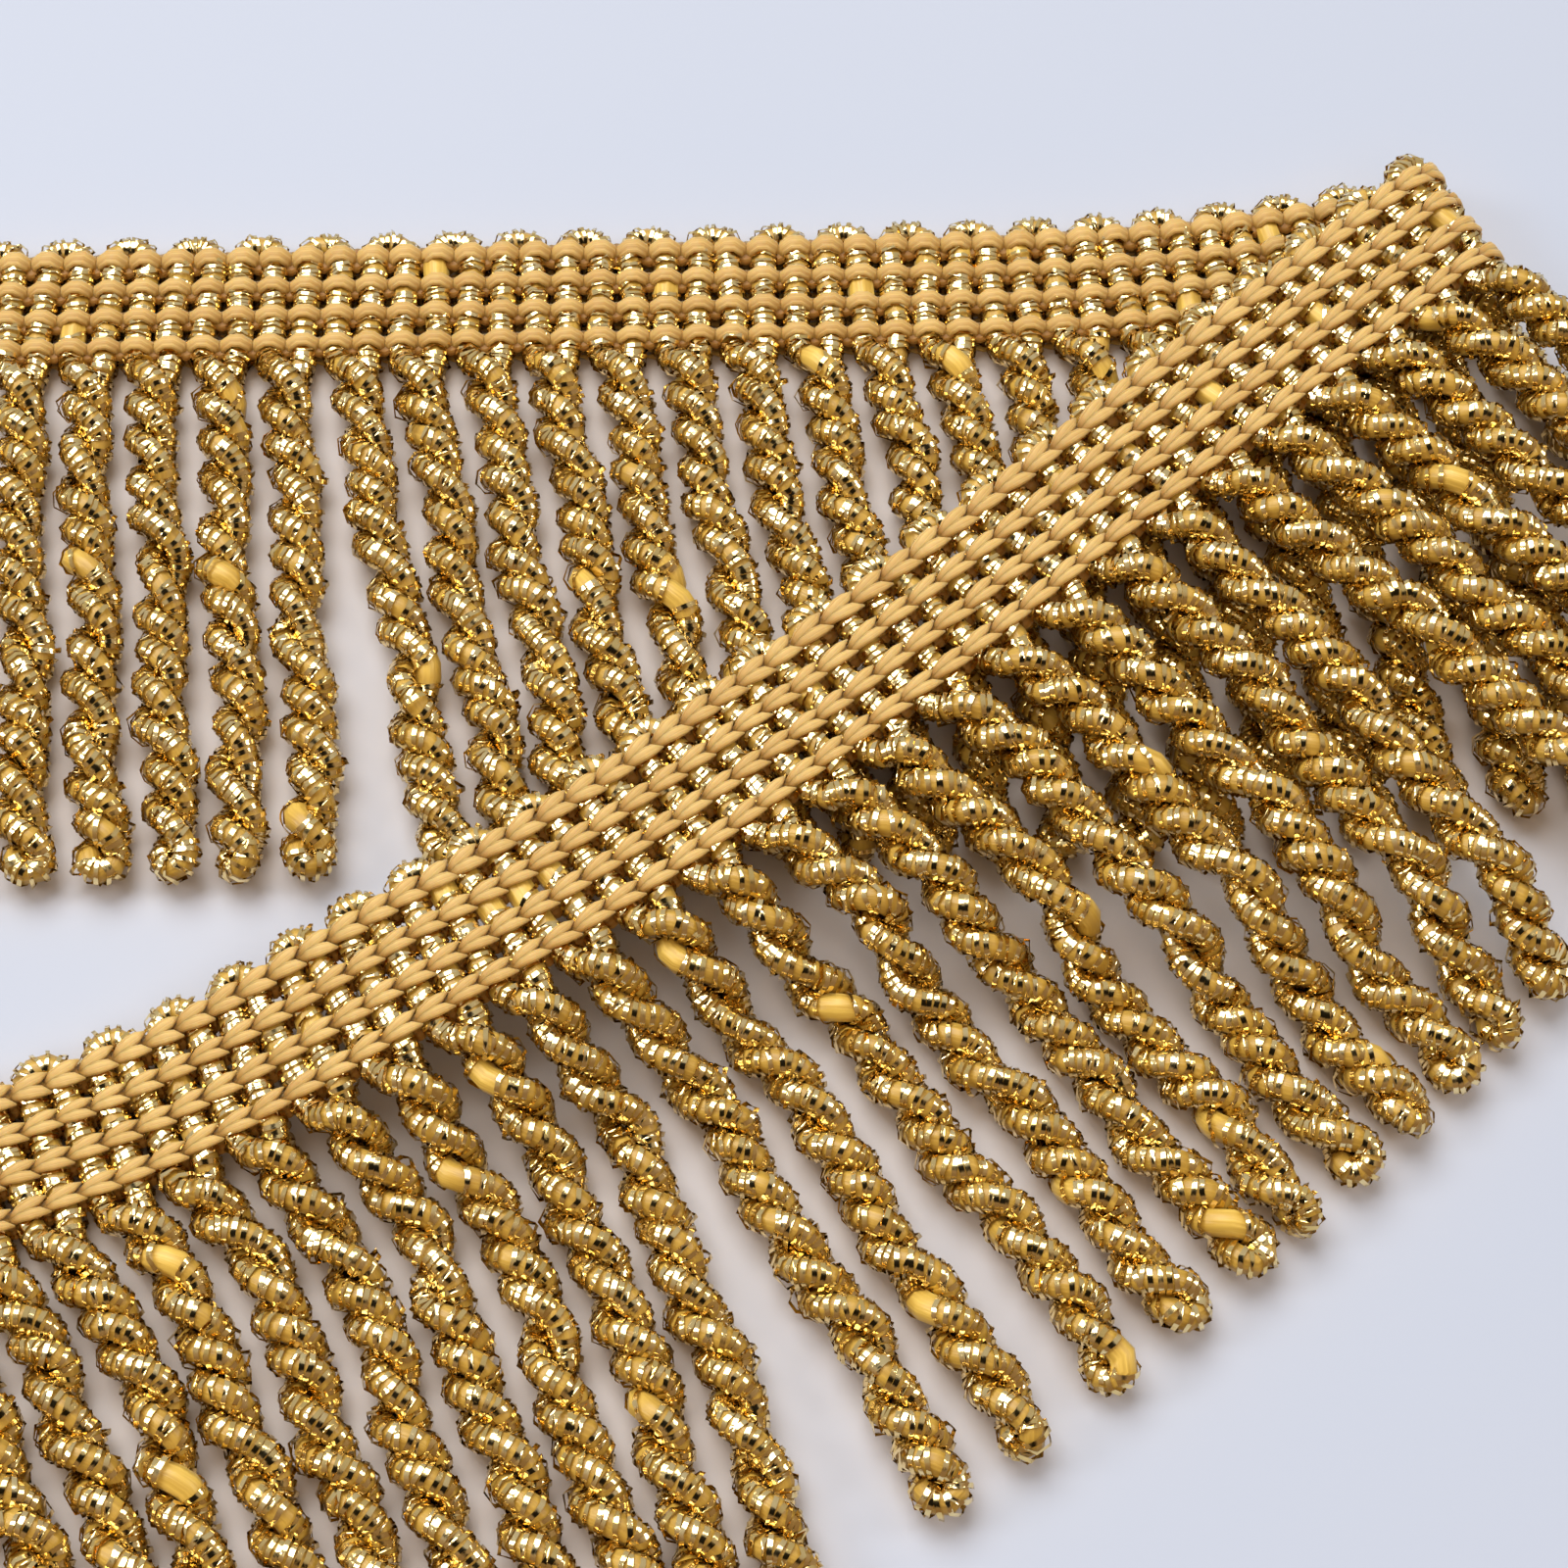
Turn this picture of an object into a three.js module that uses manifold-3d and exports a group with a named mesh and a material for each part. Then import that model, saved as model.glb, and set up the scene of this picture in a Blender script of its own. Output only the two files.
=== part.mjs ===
// Bullion fringe trim: a cut length lying on a flat surface and folded over once.
// Millimetres, +Z up. The rear run goes along +X to the fold, and the front run comes back
// over it. The origin is under the middle of the whole part, on the surface it lies on.
// Pieces: the knitted heading, the rear run's bullion fringe and the front run's.

import * as THREE from 'three';
import { mergeVertices } from 'three/addons/utils/BufferGeometryUtils.js';
import Module from 'manifold-3d';

const wasm = await Module();
wasm.setup();

// Driving dimensions of the heading: its chain rows, thickness and scalloped loop edge
const ROW_GAP = 2.47;
const ROW_COUNT = 4;
const BAND_THICK = 2.4;
const RIB_DEPTH = 0.5;
const LOWER_EDGE = 0.85;
const EDGE_SHARE = 0.45;
const LOOP_CREST = 2.7;
const LOOP_DIP = 1.3;

// Driving dimensions of the bullion: two plies twisted together, a loop at the tip
const PLY_RADIUS = 0.94;
const WAIST_RADIUS = 1.2;
const QUARTER_TURN = 1.585;
const QUARTER_TURNS = 25;
const ROOT_SCALE = 0.6;
const TIP_SCALE = 0.55;
const FREE_GAP = 0.3;
const LAY_BEND = 20;

// The share of its length that a front strand keeps in plan, as it slopes down
const SLOPED_SHARE = 0.97;

// The backing strip that holds the strands' roots, just off the heading's lower edge
const STRIP_WIDTH = 1.2;
const STRIP_THICK = 1.6;
const STRIP_STEP = 3.2;

// The fold, a half roll about an axis that crosses the strip aslant
const FOLD_RADIUS = 2.1;
const FOLD_DIRECTION = -64.65;
const FOLD_START = 102.95;
const FOLD_PASSED = 111.75;
const STRIP_PART = 108;

// Lengths along the strip at which the front run comes down from the strands to the surface
const DESCENT_FROM = 193.75;
const DESCENT_TO = 217.75;

// Where the middle line starts, and the middle of the whole part, in the layout's own plan
const START = { x: -58.75, y: 36.3 };
const PLAN_CENTRE = { x: 6.3, y: -10.8 };

// Plan direction of the middle line in degrees from +X, by length from its start
const REAR_BENDS = [
  { at: 0, direction: 1.6 },
  { at: 70.75, direction: 1.6 },
  { at: 93.75, direction: 10 },
  { at: 135, direction: 10 },
];

// The same for the front run, by length from where the fold is passed
const FRONT_BENDS = [
  { at: 0, direction: -139.3 },
  { at: 35, direction: -137.5 },
  { at: 66, direction: -141 },
  { at: 103, direction: -157.5 },
  { at: 135, direction: -157.5 },
];

// Length along the strip at which the strands are rooted, counted from the rear cut end
const ROOTS = [
  { strand: -0.5, at: 0 },
  { strand: 24, at: 110.25 },
  { strand: 35, at: 165.55 },
  { strand: 40, at: 187.85 },
  { strand: 51.5, at: 235.8 },
];
const FIRST_FRONT = 24;
const STRANDS = 52;

// Plan direction of the strands at the root, and of the straight length that ends at the tip
const LAYS = [
  { strand: 0, root: -82, tip: -82 },
  { strand: 5, root: -82, tip: -82.4 },
  { strand: 6, root: -79, tip: -76.6 },
  { strand: 10, root: -80, tip: -79 },
  { strand: 16, root: -80.5, tip: -80.5 },
  { strand: 20, root: -80, tip: -79.5 },
  { strand: 22, root: -78, tip: -78.5 },
  { strand: 23, root: -68, tip: -66 },
  { strand: 24, root: -53, tip: -50 },
  { strand: 28, root: -47, tip: -49.2 },
  { strand: 29, root: -45, tip: -48.2 },
  { strand: 30, root: -48, tip: -58 },
  { strand: 31, root: -46, tip: -57.2 },
  { strand: 34, root: -42, tip: -54 },
  { strand: 36, root: -40, tip: -53 },
  { strand: 38, root: -42, tip: -54.5 },
  { strand: 39, root: -43, tip: -58.5 },
  { strand: 40, root: -43, tip: -59.5 },
  { strand: 41, root: -44, tip: -69.5 },
  { strand: 44, root: -46, tip: -69 },
  { strand: 48, root: -49, tip: -67 },
  { strand: 51, root: -50, tip: -66.5 },
];

const HALF_THICK = BAND_THICK / 2;
const EDGE_THICK = EDGE_SHARE * BAND_THICK;
const HALF_ROWS = (ROW_GAP * (ROW_COUNT - 1)) / 2;
const LOWER = HALF_ROWS + LOWER_EDGE;
const STRIP_TOP = LOWER + FREE_GAP;
const STRIP_LOW = STRIP_TOP + STRIP_WIDTH;
const ROOT_AT = STRIP_TOP + STRIP_WIDTH / 2;
const STRAND_RADIUS = 2 * PLY_RADIUS;
const LIFTED = 3 * STRAND_RADIUS + FREE_GAP;
const ROOT_LIFT = 0.6;
const COVER_REACH = 2.3 * STRAND_RADIUS;
const DROP_STEPS = 6;
const WALK_STEP = 0.5;
const WALK_SPARE = 20;
const MERGE_WITHIN = 1e-4;
const STRIP_END = ROOTS[ROOTS.length - 1].at;

const radians = THREE.MathUtils.degToRad;

// The value of a table's column at a key, straight between its rows
function lookup(table, keyName, key, column) {
  let last = 1;
  while (last < table.length - 1 && table[last][keyName] < key) last += 1;
  const a = table[last - 1];
  const b = table[last];
  const share = THREE.MathUtils.clamp((key - a[keyName]) / (b[keyName] - a[keyName]), 0, 1);
  return a[column] + (b[column] - a[column]) * share;
}

// A plan curve from a start, bent as its table says
function walk(start, bends, length) {
  const points = [];
  let { x, y } = start;
  for (let k = 0; k * WALK_STEP <= length; k += 1) {
    const angle = radians(lookup(bends, 'at', k * WALK_STEP, 'direction'));
    points.push({ x, y, angle });
    x += WALK_STEP * Math.cos(angle);
    y += WALK_STEP * Math.sin(angle);
  }
  return points;
}

// The place and direction at a length along a walked curve
function placeOn(points, at) {
  const place = THREE.MathUtils.clamp(at / WALK_STEP, 0, points.length - 1.001);
  const first = Math.floor(place);
  const share = place - first;
  const a = points[first];
  const b = points[first + 1];
  return {
    x: a.x + (b.x - a.x) * share,
    y: a.y + (b.y - a.y) * share,
    angle: a.angle + (b.angle - a.angle) * share,
  };
}

const rearLine = walk(START, REAR_BENDS, FOLD_PASSED + WALK_SPARE);
const foldAxis = radians(FOLD_DIRECTION);
const across = { x: -Math.sin(foldAxis), y: Math.cos(foldAxis) };
const foldPoint = placeOn(rearLine, FOLD_START);
const foldOffset = across.x * foldPoint.x + across.y * foldPoint.y;

// A point of the strip up to the fold and round it: v runs to the strands, lift is up
function onRearRun(s, v, lift) {
  const line = placeOn(rearLine, s);
  const side = line.angle - Math.PI / 2;
  const x = line.x + v * Math.cos(side);
  const y = line.y + v * Math.sin(side);
  const past = across.x * x + across.y * y - foldOffset;
  if (past <= 0) return new THREE.Vector3(x, y, HALF_THICK + lift);
  const turn = Math.min(past / FOLD_RADIUS, Math.PI);
  const beyond = Math.max(past - Math.PI * FOLD_RADIUS, 0);
  const reach = (FOLD_RADIUS - lift) * Math.sin(turn) - past - beyond;
  const height = HALF_THICK + FOLD_RADIUS - (FOLD_RADIUS - lift) * Math.cos(turn);
  return new THREE.Vector3(x + across.x * reach, y + across.y * reach, height);
}

const frontStart = onRearRun(FOLD_PASSED, 0, 0);
const frontLine = walk(frontStart, FRONT_BENDS, STRIP_END - FOLD_PASSED + WALK_SPARE);

// Height of the strip's middle layer on the front run
function middleHeight(s) {
  const down = THREE.MathUtils.smoothstep(s, DESCENT_FROM, DESCENT_TO);
  return HALF_THICK + 2 * FOLD_RADIUS * (1 - down);
}

// A point anywhere on the strip, in the part's own frame
function onStrip(s, v, lift) {
  let point;
  if (s < FOLD_PASSED) {
    point = onRearRun(s, v, lift);
  } else {
    const line = placeOn(frontLine, s - FOLD_PASSED);
    const side = line.angle + Math.PI / 2;
    const x = line.x + v * Math.cos(side);
    const y = line.y + v * Math.sin(side);
    point = new THREE.Vector3(x, y, middleHeight(s) - lift);
  }
  return point.sub(new THREE.Vector3(PLAN_CENTRE.x, PLAN_CENTRE.y, 0));
}

// A closed solid through rings of equal point counts, its flat ends closed like a ladder
function closedTube(rings, leftHanded) {
  const count = rings[0].length;
  const end = (rings.length - 1) * count;
  const triangles = [];
  for (let j = 0; j + 1 < rings.length; j += 1) {
    for (let m = 0; m < count; m += 1) {
      const a = j * count + m;
      const b = j * count + ((m + 1) % count);
      const c = b + count;
      const d = a + count;
      if (leftHanded) triangles.push([a, b, d], [b, c, d]);
      else triangles.push([a, b, c], [a, c, d]);
    }
  }
  for (let m = 0; m < count / 2 - 1; m += 1) {
    const [p, q, r, t] = [m, m + 1, count - 2 - m, count - 1 - m];
    triangles.push([p, r, q], [p, t, r]);
    triangles.push([end + p, end + q, end + r], [end + p, end + r, end + t]);
  }
  const geometry = new THREE.BufferGeometry();
  const numbers = rings.flat().flatMap((point) => [point.x, point.y, point.z]);
  geometry.setAttribute('position', new THREE.Float32BufferAttribute(numbers, 3));
  geometry.setIndex(triangles.flat());
  return geometry;
}

// The heading: ribs on the face that shows, flat on the face that lies down
function headingGeometry() {
  const rings = [];
  for (let half = -1; half <= 2 * STRANDS - 1; half += 1) {
    const s = lookup(ROOTS, 'strand', half / 2, 'at');
    const onFront = THREE.MathUtils.smoothstep(s, FOLD_START, FOLD_PASSED);
    const loop = half % 2 === 0 ? LOOP_DIP : LOOP_CREST;
    const upper = [];
    const lower = [];
    for (let row = 0; row < 2 * ROW_COUNT - 1; row += 1) {
      const v = -HALF_ROWS + (row * ROW_GAP) / 2;
      const groove = row % 2 === 0 ? 0 : RIB_DEPTH;
      upper.push(onStrip(s, v, HALF_THICK - groove * (1 - onFront)));
      lower.push(onStrip(s, v, groove * onFront - HALF_THICK));
    }
    upper.push(onStrip(s, LOWER, EDGE_THICK / 2));
    lower.push(onStrip(s, LOWER, -EDGE_THICK / 2));
    const loopTop = onStrip(s, -HALF_ROWS - loop, EDGE_THICK / 2);
    const loopLow = onStrip(s, -HALF_ROWS - loop, -EDGE_THICK / 2);
    rings.push([loopTop, ...upper, ...lower.reverse(), loopLow]);
  }
  return closedTube(rings, false);
}

// A narrow strip along the heading's lower edge
function backingStrip(from, to) {
  const rings = [];
  const steps = Math.round((to - from) / STRIP_STEP);
  for (let k = 0; k <= steps; k += 1) {
    const s = from + ((to - from) * k) / steps;
    rings.push([
      onStrip(s, STRIP_TOP, STRIP_THICK / 2),
      onStrip(s, STRIP_LOW, STRIP_THICK / 2),
      onStrip(s, STRIP_LOW, -STRIP_THICK / 2),
      onStrip(s, STRIP_TOP, -STRIP_THICK / 2),
    ]);
  }
  return closedTube(rings, false);
}

// Plan of a strand's middle line, bending from its root direction to its tip direction
function strandPlan(strand) {
  const lay = {
    root: lookup(LAYS, 'strand', strand, 'root'),
    tip: lookup(LAYS, 'strand', strand, 'tip'),
  };
  const step = QUARTER_TURN * (strand < FIRST_FRONT ? 1 : SLOPED_SHARE);
  const root = onStrip(lookup(ROOTS, 'strand', strand, 'at'), ROOT_AT, 0);
  const plan = [];
  let { x, y } = root;
  for (let j = 0; j <= QUARTER_TURNS; j += 1) {
    const bend = Math.max(0, 1 - (j * step) / LAY_BEND);
    const angle = radians(lay.tip + (lay.root - lay.tip) * bend * bend);
    plan.push({ x, y, angle });
    x += step * Math.cos(angle);
    y += step * Math.sin(angle);
  }
  return { plan, rootHeight: root.z };
}

// Plan distance from a point to the stretch between two others
function planDistance(p, a, b) {
  const run = { x: b.x - a.x, y: b.y - a.y };
  const share = ((p.x - a.x) * run.x + (p.y - a.y) * run.y) / (run.x ** 2 + run.y ** 2);
  const held = THREE.MathUtils.clamp(share, 0, 1);
  return Math.hypot(p.x - a.x - run.x * held, p.y - a.y - run.y * held);
}

// The last step of a strand that has another strand under it, or -1
function lastCovered(plan, under) {
  let last = -1;
  for (const other of under) {
    for (let k = 0; k + 1 < other.length; k += 1) {
      plan.forEach((p, j) => {
        if (j > last && planDistance(p, other[k], other[k + 1]) < COVER_REACH) last = j;
      });
    }
  }
  return last;
}

// Middle-line heights: held up by what is under the strand, then down to the surface
function strandHeights(plan, rootHeight, under) {
  const last = lastCovered(plan, under);
  const held = last < 0 ? Math.max(rootHeight + ROOT_LIFT, STRAND_RADIUS) : LIFTED;
  const dropFrom = Math.max(last, 0);
  return plan.map((p, j) => {
    if (j === 0) return rootHeight;
    if (rootHeight < STRAND_RADIUS) return STRAND_RADIUS;
    const down = THREE.MathUtils.smoothstep(j, dropFrom, dropFrom + DROP_STEPS);
    return held + (STRAND_RADIUS - held) * down;
  });
}

// One strand: a four-sided section that turns a quarter, left-handed, at every step
function strandGeometry(plan, heights) {
  const centres = plan.map((p, j) => new THREE.Vector3(p.x, p.y, heights[j]));
  const rings = centres.map((centre, j) => {
    const side = new THREE.Vector3(-Math.sin(plan[j].angle), Math.cos(plan[j].angle), 0);
    const before = centres[Math.max(j - 1, 0)];
    const after = centres[Math.min(j + 1, QUARTER_TURNS)];
    const along = after.clone().sub(before).normalize();
    const up = along.clone().cross(side).normalize();
    let scale = 1;
    if (j === 0) scale = ROOT_SCALE;
    if (j === QUARTER_TURNS) scale = TIP_SCALE;
    return [0, 1, 2, 3].map((m) => {
      const radius = scale * ((m + j) % 2 === 0 ? STRAND_RADIUS : WAIST_RADIUS);
      const angle = (m * Math.PI) / 2;
      return centre
        .clone()
        .addScaledVector(side, radius * Math.cos(angle))
        .addScaledVector(up, radius * Math.sin(angle));
    });
  });
  return closedTube(rings, true);
}

function toManifold(geometry) {
  const bare = geometry.clone();
  bare.deleteAttribute('normal');
  bare.deleteAttribute('uv');
  const merged = mergeVertices(bare, MERGE_WITHIN);
  const mesh = new wasm.Mesh({
    numProp: 3,
    vertProperties: new Float32Array(merged.attributes.position.array),
    triVerts: new Uint32Array(merged.index.array),
  });
  return new wasm.Manifold(mesh);
}

function fromManifold(solid) {
  const mesh = solid.getMesh();
  const geometry = new THREE.BufferGeometry();
  geometry.setAttribute('position', new THREE.BufferAttribute(mesh.vertProperties, 3));
  geometry.setIndex(new THREE.BufferAttribute(mesh.triVerts, 1));
  return geometry;
}

// A run of fringe: its strands fused by their roots to one backing strip
function fringe(first, end, from, to, under) {
  let solid = toManifold(backingStrip(from, to));
  const plans = [];
  for (let strand = first; strand < end; strand += 1) {
    const { plan, rootHeight } = strandPlan(strand);
    const heights = strandHeights(plan, rootHeight, under);
    solid = solid.add(toManifold(strandGeometry(plan, heights)));
    plans.push(plan);
  }
  return { geometry: fromManifold(solid), plans };
}

const yarnTan = new THREE.MeshStandardMaterial({ color: 0xc8a060, roughness: 0.75, metalness: 0 });
const rearGold = new THREE.MeshStandardMaterial({ color: 0xb88628, roughness: 0.35, metalness: 0.8 });
const frontGold = new THREE.MeshStandardMaterial({ color: 0xc9962e, roughness: 0.35, metalness: 0.8 });

function namedMesh(name, geometry, material) {
  const mesh = new THREE.Mesh(geometry, material);
  mesh.name = name;
  return mesh;
}

const rear = fringe(0, FIRST_FRONT, 0, STRIP_PART - FREE_GAP, []);
const front = fringe(FIRST_FRONT, STRANDS, STRIP_PART + FREE_GAP, STRIP_END, rear.plans);

const trim = new THREE.Group();
trim.add(namedMesh('heading', headingGeometry(), yarnTan));
trim.add(namedMesh('rear_fringe', rear.geometry, rearGold));
trim.add(namedMesh('front_fringe', front.geometry, frontGold));

export default trim;
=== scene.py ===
import math

import bpy
import numpy as np
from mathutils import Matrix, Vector


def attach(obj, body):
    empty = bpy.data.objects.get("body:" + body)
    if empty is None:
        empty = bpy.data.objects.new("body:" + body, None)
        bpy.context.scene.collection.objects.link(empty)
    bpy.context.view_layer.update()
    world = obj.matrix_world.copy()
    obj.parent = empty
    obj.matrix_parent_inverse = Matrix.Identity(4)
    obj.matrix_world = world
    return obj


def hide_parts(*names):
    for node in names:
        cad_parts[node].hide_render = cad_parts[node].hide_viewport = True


# Bullion fringe trim: a cut length lying on a pale table and folded over once. The layout
# is worked out in millimetres, as in the part's source, and made in metres.
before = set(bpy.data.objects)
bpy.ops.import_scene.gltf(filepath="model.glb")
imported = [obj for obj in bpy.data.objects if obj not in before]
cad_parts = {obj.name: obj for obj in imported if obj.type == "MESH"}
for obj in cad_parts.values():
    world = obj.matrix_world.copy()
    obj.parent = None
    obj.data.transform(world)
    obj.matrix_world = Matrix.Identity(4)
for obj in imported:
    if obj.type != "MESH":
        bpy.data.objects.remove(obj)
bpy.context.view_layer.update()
MM = 0.001

# The heading: its chain rows and thickness
ROW_GAP = 2.47
ROW_COUNT = 4
HALF_THICK = 1.2
LOWER_EDGE = 0.85
HALF_ROWS = ROW_GAP * (ROW_COUNT - 1) / 2
LOWER = HALF_ROWS + LOWER_EDGE
ROOT_AT = LOWER + 0.9

# The bullion strands: two plies of gimp twisted together, a loop at the tip
PLY_RADIUS = 0.94
STRAND_RADIUS = 2 * PLY_RADIUS
QUARTER_TURN = 1.585
QUARTER_TURNS = 25
SLOPED_SHARE = 0.97
LAY_BEND = 20
FREE_GAP = 0.3
LIFTED = 3 * STRAND_RADIUS + FREE_GAP
ROOT_LIFT = 0.6
COVER_REACH = 2.3 * STRAND_RADIUS
DROP_STEPS = 6

# The fold and the way down to the table
FOLD_RADIUS = 2.1
FOLD_DIRECTION = -64.65
FOLD_START = 102.95
FOLD_PASSED = 111.75
DESCENT_FROM = 193.75
DESCENT_TO = 217.75
START = (-58.75, 36.3)
PLAN_CENTRE = (6.3, -10.8)
WALK_STEP = 0.5
WALK_SPARE = 20

# Plan direction of the middle line in degrees from +X, by length in millimetres
REAR_BENDS = (
    {"at": 0, "direction": 1.6},
    {"at": 70.75, "direction": 1.6},
    {"at": 93.75, "direction": 10},
    {"at": 135, "direction": 10},
)
FRONT_BENDS = (
    {"at": 0, "direction": -139.3},
    {"at": 35, "direction": -137.5},
    {"at": 66, "direction": -141},
    {"at": 103, "direction": -157.5},
    {"at": 135, "direction": -157.5},
)

# Length along the strip at which the strands are rooted
ROOTS = (
    {"strand": -0.5, "at": 0},
    {"strand": 24, "at": 110.25},
    {"strand": 35, "at": 165.55},
    {"strand": 40, "at": 187.85},
    {"strand": 51.5, "at": 235.8},
)
STRIP_END = 235.8
FIRST_FRONT = 24
STRANDS = 52

# Plan direction of the strands at the root, and of the straight length that ends at the tip
LAYS = (
    {"strand": 0, "root": -82, "tip": -82},
    {"strand": 5, "root": -82, "tip": -82.4},
    {"strand": 6, "root": -79, "tip": -76.6},
    {"strand": 10, "root": -80, "tip": -79},
    {"strand": 16, "root": -80.5, "tip": -80.5},
    {"strand": 20, "root": -80, "tip": -79.5},
    {"strand": 22, "root": -78, "tip": -78.5},
    {"strand": 23, "root": -68, "tip": -66},
    {"strand": 24, "root": -53, "tip": -50},
    {"strand": 28, "root": -47, "tip": -49.2},
    {"strand": 29, "root": -45, "tip": -48.2},
    {"strand": 30, "root": -48, "tip": -58},
    {"strand": 31, "root": -46, "tip": -57.2},
    {"strand": 34, "root": -42, "tip": -54},
    {"strand": 36, "root": -40, "tip": -53},
    {"strand": 38, "root": -42, "tip": -54.5},
    {"strand": 39, "root": -43, "tip": -58.5},
    {"strand": 40, "root": -43, "tip": -59.5},
    {"strand": 41, "root": -44, "tip": -69.5},
    {"strand": 44, "root": -46, "tip": -69},
    {"strand": 48, "root": -49, "tip": -67},
    {"strand": 51, "root": -50, "tip": -66.5},
)

# The gimp: a soft yellow core wrapped in flat gold tape
CORE_RADIUS = 0.83
TAPE_RADIUS = 0.93
TAPE_WIDTH = 0.31
TAPE_THICK = 0.08
WRAP_PITCH = 0.385
TAPE_SIDES = 7
CORE_SIDES = 7
CORE_STEP = 0.8
PLY_REACH = 0.88
PATH_STEPS = 6
TIP_LENGTH = 1.94
TIP_POINTS = 7

# How unevenly the tape is wound: its density along the gimp, and turns that slip and tilt.
# The paces are changes in a metre of gimp, or in a radian of winding.
UNEVENNESS = 1.2
DENSITY_PACE = 420.0
SWELL_PACE = 300.0
RIPPLE_PACE = 0.55
JITTER_PACE = 0.31
JITTER_REACH = 3.2
TILT_PACE = 0.9
TILT_REACH = 3.2

# Loose turns: how far they stand off, what share of them, and for how much of a turn
FLARE = 0.32
FLARE_SHARE = 0.18
LOOSE_SPAN = 0.7

# Places where the core lies bare: how far apart they may be, what share are, and their size
BARE_SPACING = 11
BARE_SHARE = 0.09
BARE_REACH = 0.4
BARE_FADE = 1.3
BARE_SWELL = 0.06

# Slow waves that keep a strand from lying true: how far, and how fast by quarter turns
FREE_AFTER = 5
SWAY_WAVES = ((0.28, 0.55), (0.18, 1.3))
RISE_WAVES = ((0.12, 0.8),)
SLACK_WAVES = ((0.35, 0.45), (0.25, 0.95))
REACH_WAVES = ((0.05, 0.7),)

# The heading's gimp is a little thicker than the strands', with narrower tape
HEADING_GIMP = 1.08
HEADING_TAPE_WIDTH = 0.25
HEADING_FLARE = 0.15
HEADING_BARE_SHARE = 0.16

# Columns of gimp stand a quarter of a strand's pitch either side of its middle
COLUMN_SHARE = 0.25
ARCH_START = 0.2
ARCH_RISE = 1.2
ARCH_FLATNESS = 0.6
ARCH_POINTS = 11

# The chain stitches: their usual pitch, the heavier top row, and the sides of their tubes
STITCH_PITCH = 2.25
EDGE_HEAVY = 1.22
LIMB_SIDES = 8
UNDER_SIDES = 6
SPINE_SIDES = 4

# Numbers that keep the random draws of one gimp apart from the next one's
NOISE_LANE = 31.7
BARE_LANE = 977.0
WRAP_LANE = 4099.0
SPAN_LANE = 5003.0

# Seeds of the random draws
STRAND_SEED = 100
ARCH_SEED = 500
FRINGE_SEED = 3
FRINGE_SEED_STEP = 7
HEADING_SEED = 71
STITCH_SEED = 5

# Nothing lies lower than this above the table
TABLE_CLEAR = 0.02

# How far from the strands warm light from the gold is painted on the table
PAINTED_GLOW_REACH = 9

# Strands in groups, so that no piece has too many faces
STRAND_GROUPS = (
    {"name": "rear_fringe_left", "first": 0, "end": 12, "node": "rear_fringe"},
    {"name": "rear_fringe_right", "first": 12, "end": 24, "node": "rear_fringe"},
    {"name": "front_fringe_fold", "first": 24, "end": 34, "node": "front_fringe"},
    {"name": "front_fringe_middle", "first": 34, "end": 43, "node": "front_fringe"},
    {"name": "front_fringe_left", "first": 43, "end": 52, "node": "front_fringe"},
)


# Layout: where the strip and its strands lie, as in the part's source


def lookup(table, key_name, key, column):
    """The value of a table's column at a key, straight between its rows."""
    return np.interp(key, [row[key_name] for row in table], [row[column] for row in table])


def smoothstep(value, low, high):
    """From 0 to 1, smoothly, as value goes from low to high."""
    share = np.clip((value - low) / (high - low), 0, 1)
    return share * share * (3 - 2 * share)


def walk(start, bends, length):
    """A plan curve from a start, bent as its table says: rows of x, y and angle."""
    points = []
    x, y = start
    for k in range(int(length / WALK_STEP) + 1):
        angle = math.radians(lookup(bends, "at", k * WALK_STEP, "direction"))
        points.append((x, y, angle))
        x += WALK_STEP * math.cos(angle)
        y += WALK_STEP * math.sin(angle)
    return np.array(points)


def place_on(points, at):
    """Places and directions at lengths along a walked curve, straight on before its start."""
    steps = np.arange(len(points)) * WALK_STEP
    x, y, angle = [np.interp(at, steps, column) for column in points.T]
    before = np.minimum(at, 0)
    return x + before * np.cos(angle), y + before * np.sin(angle), angle


rear_line = walk(START, REAR_BENDS, FOLD_PASSED + WALK_SPARE)
fold_axis = math.radians(FOLD_DIRECTION)
across = np.array((-math.sin(fold_axis), math.cos(fold_axis)))
fold_offset = float(across @ np.array(place_on(rear_line, FOLD_START)[:2]))


def on_rear_run(s, v, lift):
    """Points of the strip up to the fold and round it: v runs to the strands, lift is up."""
    x, y, angle = place_on(rear_line, s)
    side = angle - math.pi / 2
    x = x + v * np.cos(side)
    y = y + v * np.sin(side)
    past = across[0] * x + across[1] * y - fold_offset
    beyond = np.maximum(past - math.pi * FOLD_RADIUS, 0)
    turn = np.clip(past / FOLD_RADIUS, 0, math.pi)
    reach = np.where(past > 0, (FOLD_RADIUS - lift) * np.sin(turn) - past - beyond, 0)
    height = HALF_THICK + FOLD_RADIUS - (FOLD_RADIUS - lift) * np.cos(turn)
    return np.stack((x + across[0] * reach, y + across[1] * reach, height), -1)


front_start = on_rear_run(FOLD_PASSED, 0, 0)
front_line = walk(front_start[:2], FRONT_BENDS, STRIP_END - FOLD_PASSED + WALK_SPARE)


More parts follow.
